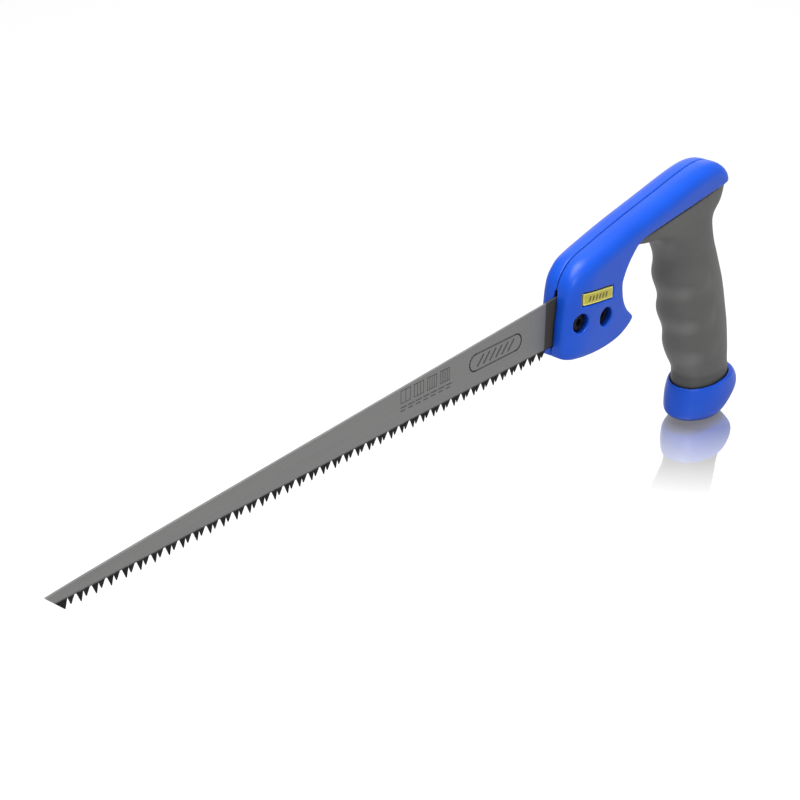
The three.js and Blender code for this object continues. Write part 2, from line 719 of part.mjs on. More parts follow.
addPart('lower_stem_screw', buildStemScrew(STEM_SCREWS[1]), 'zinc');

// Stand the saw on its base cap with the origin under the middle of its bounding box.
const extent = new THREE.Box3().setFromObject(saw);
saw.position.set(-(extent.min.x + extent.max.x) / 2, 0, -extent.min.z);

export default saw;
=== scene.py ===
"""Drywall saw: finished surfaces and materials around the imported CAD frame.

Shapes are drawn in millimetres in the saw's own drawing frame: X = 0 at the front of the
handle's head, Y = 0 at mid-blade and Z = 0 on the tooth line. place() moves each finished mesh
into the row frame, in metres.
"""
import math

import bpy
import numpy as np
from mathutils import Matrix, Vector
from mathutils.bvhtree import BVHTree
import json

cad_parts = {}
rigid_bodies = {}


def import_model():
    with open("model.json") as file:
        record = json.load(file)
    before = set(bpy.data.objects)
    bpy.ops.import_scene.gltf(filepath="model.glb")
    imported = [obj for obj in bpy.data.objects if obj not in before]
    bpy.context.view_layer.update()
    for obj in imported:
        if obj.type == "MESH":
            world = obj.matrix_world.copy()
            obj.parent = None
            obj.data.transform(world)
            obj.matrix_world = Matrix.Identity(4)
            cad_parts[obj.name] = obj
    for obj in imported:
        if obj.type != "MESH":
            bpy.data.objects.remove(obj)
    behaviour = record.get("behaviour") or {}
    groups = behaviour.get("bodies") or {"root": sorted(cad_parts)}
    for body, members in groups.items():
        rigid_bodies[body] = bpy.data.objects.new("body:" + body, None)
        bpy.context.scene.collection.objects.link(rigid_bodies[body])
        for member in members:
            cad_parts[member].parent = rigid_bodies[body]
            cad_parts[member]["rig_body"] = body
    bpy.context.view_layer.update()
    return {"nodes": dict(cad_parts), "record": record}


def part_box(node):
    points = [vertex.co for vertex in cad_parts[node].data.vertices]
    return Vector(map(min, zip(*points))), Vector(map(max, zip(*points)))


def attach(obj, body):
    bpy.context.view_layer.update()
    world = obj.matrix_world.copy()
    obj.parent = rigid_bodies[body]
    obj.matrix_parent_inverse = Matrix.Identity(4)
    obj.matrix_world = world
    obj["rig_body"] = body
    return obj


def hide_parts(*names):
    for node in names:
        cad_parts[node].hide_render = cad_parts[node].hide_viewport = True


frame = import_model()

# ---------------------------------------------------------------- driving dimensions, mm

MM = 0.001
GAP = 0.3                              # running gap between neighbouring pieces
WIDE = 40                              # half width of a cutting tool that passes both sides
PARTING = 0.05                         # half the gap between the two handle shells
POINT_X = -308                         # the blade's point
CAP_BOTTOM = -89.8

BLADE_HALF = 0.55
BACK_AT_HEAD, BACK_AT_POINT = 30.4, 8.6
BACK_CROWN, BACK_SWEEP = 0.7, 14       # how far the back bows up, and how soon behind the point
TOOTH_DEPTH = 4.3
HEAD_SHADOW_START = -6.7                      # the head's shadow is painted on the blade from here to the head

HEAD_HALF = 12
CLAMPS = {"front": (10.4, 16.8), "rear": (30, 14.4)}
WELL_RADIUS, WELL_FLOOR, NUT_WELL = 5.2, 2.8, 7.6
WASHER_RADIUS, WASHER, WASHER_EDGE = 4.8, 0.6, 0.12
SCREW_HEAD_RADIUS, SCREW_HEAD, SHANK, SHANK_END = 4.25, 5, 2.5, 8.1
SOCKET_FLATS, SOCKET_DEPTH = 4, 2.5
NUT_FLATS, NUT_HEIGHT = 8, 4

BADGE = [(10.9, 26.4), (34.6, 23.8), (34.3, 30.1), (10.6, 32.8)]
BADGE_THICKNESS, BADGE_RECESS, BADGE_GROOVE = 0.8, 0.25, 0.7
INK_TOP, BORDER_TOP, INK_BOTTOM = 0.03, 0.02, 0.004     # how far prints stand off their surface

SEAM_GAP = 0.5
STEM_END = -78
CAP_CENTRE, SLEEVE_FLOOR, NECK = 147.5, -72, -58.5
CAP_SCREW_X, CAP_SCREW_SEAT, CAP_SCREW_WELL = 147, -82.2, 4.7
CAP_SCREW_HEAD, CAP_SCREW_HEIGHT, CAP_SCREW_SHANK, CAP_SCREW_TOP = 4, 2.4, 2, -62

# Voxel size and smoothing passes that leave each moulding under 200,000 faces.
SHELL_MOULD, SLEEVE_MOULD, CAP_MOULD = (0.56, 2), (0.68, 2), (0.5, 3)

# Where highlights are painted on the grip: just behind its front line, once for each finger
# swell.
HIGHLIGHT_FRONT, HIGHLIGHT_LEAN = 103, 0.353     # the line's x at z = 0, and how it leans
HIGHLIGHT_BEHIND, HIGHLIGHT_REACH = 4, 6
HIGHLIGHT_SPACING, HIGHLIGHT_CREST = 22.5, 1
HIGHLIGHT_TOP, HIGHLIGHT_LOW, HIGHLIGHT_FADE = 10, -49, 6

# ---------------------------------------------------------------- outlines, mm

# Head and arm at the parting plane: x, z, then how far the outline moves in before the side
# face is flat, and the height of the upright wall under that rounding.
SHELL_KEYS = [
    (0.4, -0.2, 18.4, 4.8, 5),
    (0, 6, 21.5, 2.5, 5),
    (0.2, 15, 24, 0, 5),
    (1.2, 24.5, 23, -2, 5),
    (2, 33, 21, -5, 4.8),
    (3.9, 39.4, 16.5, -8, 4.4),
    (7.6, 44.2, 11, -10, 3.4),
    (13, 48, 6, -10.5, 2.6),
    (23.5, 51.1, 3, -9.6, 2.4),
    (48.9, 57.5, 2.2, -9.2, 2.4),
    (75, 63.2, 2.2, -9.2, 2.4),
    (101, 68.9, 2.2, -9.2, 2.4),
    (114, 71.2, 1.2, -9.4, 2.4),
    (124, 71.6, -1, -9.5, 2.6),
    (132.5, 69.8, -4.5, -8.5, 3),
    (139.4, 65.8, -7.5, -5.5, 3),
    (142.8, 61, -9, -2, 3),
    (142.6, 56, -9, 0, 3),
    (139, 47, -9, 1, 3),
    (132, 39.5, -6, 4, 5),
    (110, 36.5, 0, 3, 9),
    (85, 37, 0, 3, 9),
    (66, 38.5, -1, 3, 9.5),
    (60, 44, -1, 2.5, 9.8),
    (55.4, 44.4, -2, 2, 9.8),
    (51.8, 41.2, -2.6, 1.4, 9.8),
    (48.4, 37, -2.6, 1.2, 9.8),
    (45.8, 32.4, -2.7, 0.8, 9.8),
    (44.4, 27.6, -2.8, 0.2, 9.8),
    (46, 19, -2.8, -0.8, 9.8),
    (49.6, 12.4, -2.6, -0.8, 9.8),
    (54.6, 7.4, -2.6, -0.6, 9.8),
    (55.4, 5.6, -3, 0.4, 9.8),
    (53.2, 3, -2, 2, 9.6),
    (48.5, 0, -1, 2.6, 9.6),
    (42, -2.4, -0.4, 2.8, 9.4),
    (31, -4, 1, 3.4, 9),
    (18, -4.2, 6.5, 4, 7.8),
    (7, -3.2, 13.5, 4.2, 6.4),
    (2, -1.8, 16.5, 4, 5.4),
]
OUTLINE_POINTS = 400
ROUNDING_STEPS = 16
ROUNDING_POWER = 0.86

SEAM_KEYS = [
    (54, 45.4), (58.9, 47.9), (68.3, 49.7), (85.6, 51.9), (103.3, 54.2),
    (121.3, 56.6), (138, 58.6), (160, 61.3),
]
BELOW_SEAM = [(200, 66), (200, -120), (60, -120), (60, 30)]

# Level slices: z, front x, rear x, half width, squareness.
GRIP_KEYS = [
    (64, 48, 145, 11.4, 4),
    (50, 50, 141.5, 11.6, 4),
    (44.4, 56, 137, 12, 3.6),
    (43, 64, 136, 12.2, 3.2),
    (41.4, 74, 134.8, 12.6, 2.9),
    (38.6, 83, 133.8, 13.2, 2.6),
    (33.5, 90.5, 134.2, 14.1, 2.35),
    (26, 95.6, 136.2, 15, 2.2),
    (15.5, 98.6, 141.2, 15.7, 2.15),
    (4, 101.6, 146.9, 16, 2.15),
    (-6.5, 105, 151, 16, 2.15),
    (-17, 108.6, 154.7, 16, 2.15),
    (-28, 112.6, 158.2, 15.8, 2.15),
    (-38, 116, 161, 15.5, 2.15),
    (-47, 119.6, 163.2, 15, 2.15),
    (-53, 123.6, 164.6, 14.2, 2.15),
    (-57, 125.6, 165.8, 13.7, 2.15),
    (-61, 126, 167.4, 13.6, 2.15),
    (-67.5, 126.4, 168.6, 13.6, 2.15),
    (-74, 127.2, 170.2, 13.6, 2.15),
]
FINGER_SWELL, FINGER_SPACING, FINGER_CREST, FINGER_TOP, FINGER_LOW = 0.8, 24.4, 8, 34, -50
FLANK_SWELL = 0.085                    # how much of the swell goes round to the flanks
SLEEVE_LEVELS, SLEEVE_SIDES = 200, 144

STEM_KEYS = [
    (60, 99, 131, 10.5, 2.3),
    (44, 99.5, 130.2, 10.5, 2.3),
    (34, 99.6, 130.2, 10.7, 2.2),
    (15, 102.4, 137.2, 12, 2.2),
    (-6, 109, 147.6, 12.3, 2.2),
    (-28, 116.6, 155.2, 12.1, 2.2),
    (-47, 123.4, 160.4, 11.4, 2.2),
    (-58, 129.4, 162, 10.2, 2.2),
    (STEM_END, 134.5, 163, 9.8, 2.2),
]
STEM_LEVELS, STEM_SIDES = 60, 96

# Slices of the cap: as above, then the slope by which each rises towards the rear.
CAP_KEYS = [
    (-64.8, 124.8, 170.2, 15.2, 2.15, 0.04),
    (-66.8, 124, 172.8, 16, 2.15, 0.06),
    (-71.2, 123, 175.8, 16.8, 2.15, 0.08),
    (-76, 122.6, 177, 16.9, 2.15, 0.1),
    (-80.6, 123, 175.8, 16.3, 2.15, 0.15),
    (-84.8, 127, 170.6, 15.1, 2.15, 0.12),
    (-88.2, 132.6, 164, 12.9, 2.15, 0.04),
    (CAP_BOTTOM, 137.2, 157.8, 9.6, 2.15, 0),
]
CAP_LEVELS, CAP_SIDES = 80, 144

# ---------------------------------------------------------------- mesh tools


def smooth(keys, count, closed):
    """Points at even steps of the parameter along a Catmull-Rom curve through the keys."""
    keys = np.array(keys, float)
    n = len(keys)
    if closed:
        padded = np.vstack([keys[-1], keys, keys[:2]])
        t = np.arange(count) / count * n
    else:
        padded = np.vstack([2 * keys[0] - keys[1], keys, 2 * keys[-1] - keys[-2]])
        t = np.linspace(0, n - 1, count)
    first = np.minimum(t.astype(int), n - 1 if closed else n - 2)
    w = (t - first)[:, None]
    p0, p1, p2, p3 = (padded[first + i] for i in range(4))
    t0, t1 = (p2 - p0) / 2, (p3 - p1) / 2
    return (p1 + w * t0 + w**2 * (3 * (p2 - p1) - 2 * t0 - t1)
            + w**3 * (2 * (p1 - p2) + t0 + t1))


def skin(rings):
    """(points, faces) of a closed skin over a stack of closed rings with equal counts."""
    rings = np.array(rings, float)
    levels, count, _ = rings.shape
    faces = []
    for ring in range(levels - 1):
        for i in range(count):
            a, b = ring * count + i, ring * count + (i + 1) % count
            faces.append((a, b, b + count, a + count))
    faces.append(tuple(reversed(range(count))))
    faces.append(tuple(range((levels - 1) * count, levels * count)))
    points = rings.reshape(-1, 3)
    return points, facing_out(points, faces)


def facing_out(points, faces):
    """A closed skin's faces, turned round if they face in."""
    if volume(points, faces) < 0:
        return [tuple(reversed(face)) for face in faces]
    return faces


def volume(points, faces):
    """The room inside a closed skin, negative if its faces face in."""
    total = 0.0
    for face in faces:
        for i in range(1, len(face) - 1):
            a, b, c = points[face[0]], points[face[i]], points[face[i + 1]]
            total += np.dot(a, np.cross(b, c))
    return total / 6


def solid(name, *skins):
    """A mesh object made of closed skins, in drawing millimetres."""
    points, faces = [], []
    for skin_points, skin_faces in skins:
        base = len(points)
        points.extend(map(tuple, skin_points))
        faces.extend(tuple(base + i for i in face) for face in skin_faces)
    mesh = bpy.data.meshes.new(name)
    mesh.from_pydata(points, [], faces)
    obj = bpy.data.objects.new(name, mesh)
    bpy.context.scene.collection.objects.link(obj)
    return obj


def settle(obj):
    """Makes the modifiers' result the object's own mesh."""
    bpy.context.view_layer.update()
    evaluated = obj.evaluated_get(bpy.context.evaluated_depsgraph_get())
    mesh = bpy.data.meshes.new_from_object(evaluated)
    obj.modifiers.clear()
    obj.data = mesh
    return obj


def carve(obj, tool, operation="DIFFERENCE"):
    """Cuts a tool out of an object, or keeps only what lies in it, and uses the tool up."""
    cut = obj.modifiers.new("carve", "BOOLEAN")
    cut.object, cut.operation, cut.solver = tool, operation, "EXACT"
    settle(obj)
    bpy.data.objects.remove(tool)
    return obj


def join(obj, other):
    """Adds another object's mesh to this one, and uses the other up."""
    points = [tuple(v.co) for v in obj.data.vertices] + [tuple(v.co) for v in other.data.vertices]
    base = len(obj.data.vertices)
    faces = [tuple(p.vertices) for p in obj.data.polygons]
    faces += [tuple(base + i for i in p.vertices) for p in other.data.polygons]
    mesh = bpy.data.meshes.new(obj.name)
    mesh.from_pydata(points, [], faces)
    obj.data = mesh
    bpy.data.objects.remove(other)


def mould(obj, voxel, passes):
    """Even small faces and softly rounded edges, as on an injection moulding."""
    even = obj.modifiers.new("even", "REMESH")
    even.mode, even.voxel_size = "VOXEL", voxel
    soften = obj.modifiers.new("soften", "SMOOTH")
    soften.factor, soften.iterations = 0.5, passes
    return settle(obj)


def place(obj, body, material, smooth_angle=None):
    """Moves a finished mesh into the row frame, shades it and lets it ride on its body."""
    obj.data.transform(Matrix.Scale(MM, 4) @ Matrix.Translation(SHIFT))
    obj.data.materials.clear()
    obj.data.materials.append(material)
    obj.data.shade_smooth()
    if smooth_angle is not None:
        obj.data.set_sharp_from_angle(angle=math.radians(smooth_angle))
    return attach(obj, body)


def body_of(node):
    return frame["nodes"][node]["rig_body"]


# From the drawing frame to the row frame, in millimetres.
SHIFT = Vector((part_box("blade")[0].x / MM - POINT_X, 0,
                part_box("base_cap")[0].z / MM - CAP_BOTTOM))

# ---------------------------------------------------------------- basic skins, mm


def prism(outline, y0, y1):
    return skin([[(x, y, z) for x, z in outline] for y in (y0, y1)])


def around(sides):
    """Even angles once round a circle."""
    return np.arange(sides) / sides * 2 * math.pi


def turned(x, z, profile, sides=64):
    """A body of revolution about an axis along Y: profile is (radius, y) pairs."""
    angles = around(sides)
    return skin([[(x + r * math.cos(a), y, z + r * math.sin(a)) for a in angles]
                 for r, y in profile])


def post(x, profile, sides=64):
    """A body of revolution about an upright axis: profile is (radius, z) pairs."""
    angles = around(sides)
    return skin([[(x + r * math.cos(a), r * math.sin(a), z) for a in angles]
                 for r, z in profile])


def block(x0, x1, y0, y1, z0, z1):
    return prism([(x0, z0), (x1, z0), (x1, z1), (x0, z1)], y0, y1)


def hexagon(x, z, flats, y0, y1):
    corner = flats / math.sqrt(3)
    return prism([(x + corner * math.sin(a), z + corner * math.cos(a)) for a in around(6)],
                 y0, y1)


def superellipse(centre, half_length, half_width, power, z, sides):
    """A level ring, an ellipse at power 2 and squarer above that."""
    cosine, sine = np.cos(around(sides)), np.sin(around(sides))
    return np.stack([
        centre + half_length * np.sign(cosine) * np.abs(cosine) ** (2 / power),
        half_width * np.sign(sine) * np.abs(sine) ** (2 / power),
        np.full(sides, z)], axis=1)


def finger_swell(z):
    """How far the grip's front stands out at a height, for the fingers to lie between."""
    if z > FINGER_TOP or z < FINGER_LOW:
        return 0
    fade = math.sin(math.pi * (z - FINGER_LOW) / (FINGER_TOP - FINGER_LOW)) ** 0.5
    return FINGER_SWELL * fade * math.cos(2 * math.pi * (z - FINGER_CREST) / FINGER_SPACING)


def loft(keys, levels, sides, grow=0, fingers=False):
    """Rings through level slices, grown outwards all round."""
    rings = []
    for z, front, rear, half, power in smooth(keys, levels, False):
        swell = finger_swell(z) if fingers else 0
        front -= swell
        ring = superellipse((front + rear) / 2, (rear - front) / 2 + grow, half + grow,
                            power, z, sides)
        # On the flanks the swell is strongest halfway between the widest line and the front.
        forward = np.maximum(0, ((front + rear) / 2 - ring[:, 0]) / (rear - front) * 2)
        ring[:, 1] *= 1 + FLANK_SWELL * swell * 4 * forward * (1 - forward)
        rings.append(ring)
    return rings


def grip_skin(grow=0):
    return skin(loft(GRIP_KEYS, SLEEVE_LEVELS, SLEEVE_SIDES, grow, fingers=True))


def stem_rings(grow=0):
    return loft(STEM_KEYS, STEM_LEVELS, STEM_SIDES, grow)


def below_seam(drop):
    """All that lies more than drop below the seam between shell and sleeve."""
    seam = [(x, z - drop) for x, z in smooth(SEAM_KEYS, 60, False)]
    return prism(seam + BELOW_SEAM, -WIDE, WIDE)


def below_level(z):
    """All of the grip that lies below a level."""
    return block(0, 300, -WIDE, WIDE, -150, z)


def back_height(x):
    """The height of the blade's back above the tooth line."""
    along = (x - POINT_X) / -POINT_X
    line = BACK_AT_POINT + (BACK_AT_HEAD - BACK_AT_POINT) * along
    return line + BACK_CROWN * (1 - math.exp(-along * BACK_SWEEP)) * (1 - along)


# ---------------------------------------------------------------- handle shells


def shell_outer(side):
    """One half of head and arm, from the parting plane to the side face."""
    outline = smooth([key[:2] for key in SHELL_KEYS], OUTLINE_POINTS, True)
    moves = smooth([key[2:] for key in SHELL_KEYS], OUTLINE_POINTS, True)
    rings = [[(x, side * PARTING, z) for x, z in outline]]
    for step in range(ROUNDING_STEPS + 1):
        angle = step / ROUNDING_STEPS * math.pi / 2
        inward = 1 - math.cos(angle) ** ROUNDING_POWER
        outward = math.sin(angle) ** ROUNDING_POWER
        rings.append([
            (x + dx * inward, side * (wall + (HEAD_HALF - wall) * outward), z + dz * inward)
            for (x, z), (dx, dz, wall) in zip(outline, moves)])
    return skin(rings)


def half_stem(side):
    """The stem's half on one side of the parting plane, a D in section."""
    rings = stem_rings()
    for ring in rings:
        ring[:, 1] = side * np.maximum(side * ring[:, 1], PARTING)
    return skin(rings)


def tang_pocket():
    """The slot for the blade's tang, open at the head's front."""
    clear = BLADE_HALF + GAP
    low, end, top = 4.3, 41.3, 34.4
    outline = [
        (-20, low - 1.2), (0.8, low - 1.2), (1.4, low), (end - 6, low), (end, low + 6),
        (end, back_height(end) - 5.6), (end - 6, back_height(end - 6) + 0.5),
        (6, back_height(6) + 0.4), (5, top), (-20, top)]
    return prism(outline, -clear, clear)


def well_tools(side):
    """Wells and holes for the clamp screws (left) or their nuts (right)."""
    tools = []
    for x, z in CLAMPS.values():
        if side < 0:
            tools.append(turned(x, z, [
                (SHANK + GAP, 1), (SHANK + GAP, -WELL_FLOOR), (WELL_RADIUS, -WELL_FLOOR),
                (WELL_RADIUS, -20)]))
        else:
            tools.append(turned(x, z, [(SHANK + GAP, -1), (SHANK + GAP, WELL_FLOOR + 0.5)]))
            tools.append(hexagon(x, z, NUT_FLATS + 2 * GAP, WELL_FLOOR, NUT_WELL + 0.5))
            tools.append(turned(x, z, [(WELL_RADIUS, NUT_WELL), (WELL_RADIUS, 20)]))
    return tools


def sheet_over(surface, side, corners, margin, top, bottom, columns=48, rows=16):
    """A plate over four corners whose two faces follow the head's side at set depths."""
    quad = np.array(corners, float)
    centre = quad.mean(axis=0)
    quad += np.sign(quad - centre) * margin
    grids = {top: [], bottom: []}
    for v in np.linspace(0, 1, rows):
        for u in np.linspace(0, 1, columns):
            x, z = ((1 - v) * ((1 - u) * quad[0] + u * quad[1])
                    + v * ((1 - u) * quad[3] + u * quad[2]))
            hit = surface.ray_cast(Vector((x, side * 30, z)), Vector((0, -side, 0)))[0]
            for depth, points in grids.items():
                points.append((x, hit.y - side * depth, z))
    count = rows * columns
    points = np.array(grids[top] + grids[bottom])
    faces = []
    for row in range(rows - 1):
        for column in range(columns - 1):
            a = row * columns + column
            faces.append((a, a + 1, a + 1 + columns, a + columns))
            faces.append((a + columns + count, a + 1 + columns + count, a + 1 + count, a + count))
    edge = (list(range(columns))
            + [row * columns + columns - 1 for row in range(1, rows)]
            + [(rows - 1) * columns + column for column in reversed(range(columns - 1))]
            + [row * columns for row in reversed(range(1, rows - 1))])
    for i, a in enumerate(edge):
        b = edge[(i + 1) % len(edge)]
        faces.append((b, a, a + count, b + count))
    return points, facing_out(points, faces)


def surface_of(skin_data):
    points, faces = skin_data
    return BVHTree.FromPolygons([tuple(p) for p in points], faces)


def make_shell(name, side):
    """A handle shell, its badge, and the head's side that printed marks lie on."""
    outer = shell_outer(side)
    surface = surface_of(outer)
    shell = solid(f"{name}_shell", outer)
    carve(shell, solid("seam_tool", below_seam(0)))
    carve(shell, solid("well_tool", *well_tools(side)))
    carve(shell, solid("pocket_tool", tang_pocket()))
    bed = sheet_over(surface, side, BADGE, BADGE_GROOVE, -1,
                     BADGE_RECESS + BADGE_THICKNESS + GAP, columns=24, rows=8)
    carve(shell, solid("bed_tool", bed))
    join(shell, solid("stem", half_stem(side)))
    mould(shell, *SHELL_MOULD)
    badge = solid(f"{name}_badge", sheet_over(
        surface, side, BADGE, 0, BADGE_RECESS, BADGE_RECESS + BADGE_THICKNESS))
    return shell, badge, surface


# ---------------------------------------------------------------- sleeve and cap


def make_sleeve():
    sleeve = solid("grip_cover", grip_skin())
    carve(sleeve, solid("seam_tool", below_seam(SEAM_GAP)), "INTERSECT")
    carve(sleeve, solid("end_tool", below_level(SLEEVE_FLOOR + GAP)))
    carve(sleeve, solid("stem_tool", skin(stem_rings(GAP))))
    return mould(sleeve, *SLEEVE_MOULD)


def make_cap():
    rings = loft([key[:5] for key in CAP_KEYS], CAP_LEVELS, CAP_SIDES)
    slopes = smooth([key[5:] for key in CAP_KEYS], CAP_LEVELS, False)
    for ring, slope in zip(rings, slopes):
        ring[:, 2] += slope * (ring[:, 0] - CAP_CENTRE)
    cap = solid("base_boot", skin(rings))
    room = solid("room_tool", grip_skin(GAP))
    carve(room, solid("end_tool", below_level(SLEEVE_FLOOR)))
    carve(cap, room)
    socket = stem_rings(GAP)
    socket[-1][:, 2] -= GAP
    carve(cap, solid("socket_tool", skin(socket)))
    carve(cap, solid("screw_tool", post(CAP_SCREW_X, [
        (CAP_SCREW_WELL, -120), (CAP_SCREW_WELL, CAP_SCREW_SEAT),
        (CAP_SCREW_SHANK + GAP, CAP_SCREW_SEAT), (CAP_SCREW_SHANK + GAP, -60)])))
    return mould(cap, *CAP_MOULD)


# ---------------------------------------------------------------- fasteners


def rounded(r, y_face, y_back, edge):
    """Profile of a disc whose front edge is rounded, from its middle out and back."""
    out = math.copysign(1, y_back - y_face)
    steps = [(r - edge + edge * math.sin(a), y_face + out * edge * (1 - math.cos(a)))
             for a in np.linspace(0, math.pi / 2, 6)]
    return [(0.05, y_face), (r * 0.6, y_face)] + steps + [(r, y_back)]


def make_clamp_screw(name, x, z):
    under = -(WELL_FLOOR + GAP + WASHER + GAP)
    face = under - SCREW_HEAD
    profile = rounded(SCREW_HEAD_RADIUS, face, under, 0.5)
    profile += [(SHANK, under), (SHANK, SHANK_END - 0.6), (SHANK - 0.6, SHANK_END)]
    screw = solid(f"{name}_screw", turned(x, z, profile))
    socket = hexagon(x, z, SOCKET_FLATS, face - 1, face + SOCKET_DEPTH)
    return carve(screw, solid("socket_tool", socket))


def make_washer(name, x, z):
    face = -(WELL_FLOOR + GAP)
    inner = WASHER_RADIUS - WASHER_EDGE
    profile = [(inner, face), (WASHER_RADIUS, face - WASHER_EDGE),
               (WASHER_RADIUS, face - WASHER + WASHER_EDGE), (inner, face - WASHER)]
    washer = solid(f"{name}_washer", turned(x, z, profile))
    hole = turned(x, z, [(SHANK + GAP, -20), (SHANK + GAP, 20)])
    return carve(washer, solid("hole_tool", hole))


def make_nut(name, x, z):
    y0 = WELL_FLOOR + GAP
    y1 = y0 + NUT_HEIGHT
    nut = solid(f"{name}_nut", hexagon(x, z, NUT_FLATS, y0, y1))
    corner = NUT_FLATS / math.sqrt(3)
    crown = turned(x, z, [(corner, y0 - 1), (corner + 0.1, y1 - 0.7), (corner - 0.9, y1 + 0.01)])
    carve(nut, solid("crown_tool", crown), "INTERSECT")
    hole = turned(x, z, [(SHANK + GAP, -20), (SHANK + GAP, y1 - 0.5), (SHANK + 1.2, y1 + 0.4)])
    return carve(nut, solid("hole_tool", hole))


def make_cap_screw():
    top = CAP_SCREW_SEAT - GAP
    low = top - CAP_SCREW_HEIGHT
    head = rounded(CAP_SCREW_HEAD, low, top, 0.8)
    profile = head + [(CAP_SCREW_SHANK, top), (CAP_SCREW_SHANK, CAP_SCREW_TOP)]
    screw = solid("boot_screw", post(CAP_SCREW_X, profile))
    slot_length, slot_width, slot_depth = 2.4, 0.5, 1.2
    for a, b in ((slot_length, slot_width), (slot_width, slot_length)):
        bar = block(CAP_SCREW_X - a, CAP_SCREW_X + a, -b, b, low - slot_depth, low + slot_depth)
        carve(screw, solid("slot_tool", bar))
    return screw


# ---------------------------------------------------------------- printed marks


def stroke(points, width, y0, y1, closed=False):
    """Closed prisms along a line of points: one for each straight stretch."""
    ends = points[1:] + ([points[0]] if closed else [])
    skins = []
    for (x0, z0), (x1, z1) in zip(points, ends):
        along = Vector((x1 - x0, z1 - z0)).normalized() * (width / 2)
        across = Vector((-along.y, along.x))
        a, b = Vector((x0, z0)) - along, Vector((x1, z1)) + along
        outline = [a + across, b + across, b - across, a - across]
        skins.append(prism([(p.x, p.y) for p in outline], y0, y1))
    return skins


def capsule(x0, x1, z0, z1, steps=10):
    """The outline of a bar with round ends."""
    r = (z1 - z0) / 2
    right = [(x1 - r + r * math.cos(a), z0 + r + r * math.sin(a))
             for a in np.linspace(-math.pi / 2, math.pi / 2, steps)]
    left = [(x0 + r + r * math.cos(a), z0 + r + r * math.sin(a))
            for a in np.linspace(math.pi / 2, 3 * math.pi / 2, steps)]
    return right + left


def hatched_capsule(y0, y1):
    first, spacing, slant, low, high = -58, 4.6, 4, 14.8, 19.2
    skins = stroke(capsule(-64, -25, 12.6, 21.4), 0.8, y0, y1, closed=True)
    for i in range(6):
        x = first + i * spacing
        skins += stroke([(x, low), (x + slant, high)], 1.1, y0, y1)
    return skins


def swatches(y0, y1):
    """Four upright boxes, with one line in the first and four in the last."""
    first, spacing, width, low, high, line = -112, 9, 6.4, 15.2, 21.6, 0.35
    skins = []
    for i in range(4):
        left = first + i * spacing
        right = left + width
        corners = [(left, low), (right, low), (right, high), (left, high)]
        skins += stroke(corners, line, y0, y1, closed=True)
        for x in np.linspace(left, right, i + 3)[1:-1]:
            skins += stroke([(x, low), (x, high)], line, y0, y1)
    return skins


def dash_rows(y0, y1):
    """Two rows of dashes under the swatches, shorter in the lower row."""
    first, spacing, length, top, row_spacing = -112, 5.2, 3.6, 12.9, 1.7
    skins = []
    for row in range(2):
        z = top - row * row_spacing
        for i in range(7):
            x = first + i * spacing
            skins += stroke([(x, z), (x + length - row, z)], 0.6, y0, y1)
    return skins


def blade_marks():
    """Plain marks printed on the blade's left face."""
    y0, y1 = -BLADE_HALF - INK_TOP, -BLADE_HALF - INK_BOTTOM
    return solid("blade_print", *hatched_capsule(y0, y1), *swatches(y0, y1), *dash_rows(y0, y1))


def badge_marks(name, surface, side):
    """Slanted printed bars on the badge, in a row that falls as the badge does."""
    first, spacing, middle, fall = 14.6, 2.7, 28.9, 0.115
    half_height, width, slant = 1.3, 1.3, 0.8
    skins = []
    for i in range(6):
        x = first + i * spacing
        z = middle - fall * (x - first)
        corners = [(x, z - half_height), (x + width, z - half_height),
                   (x + width + slant, z + half_height), (x + slant, z + half_height)]
        skins.append(sheet_over(surface, side, corners, 0, BADGE_RECESS - INK_TOP,
                                BADGE_RECESS - INK_BOTTOM, columns=6, rows=6))
    return solid(f"{name}_badge_print", *skins)


def badge_border(name, surface, side):
    """A pale printed line just inside the badge's edge."""
    margin, line = 0.15, 0.5
    corners = np.array(BADGE, float)
    inward = -np.sign(corners - corners.mean(axis=0))
    outer, inner = corners + inward * margin, corners + inward * (margin + line)
    skins = []
    for i in range(4):
        k = (i + 1) % 4
        skins.append(sheet_over(surface, side, [outer[i], outer[k], inner[k], inner[i]], 0,
                                BADGE_RECESS - BORDER_TOP, BADGE_RECESS - INK_BOTTOM,
                                columns=12, rows=3))
    return solid(f"{name}_badge_border", *skins)


# ---------------------------------------------------------------- materials


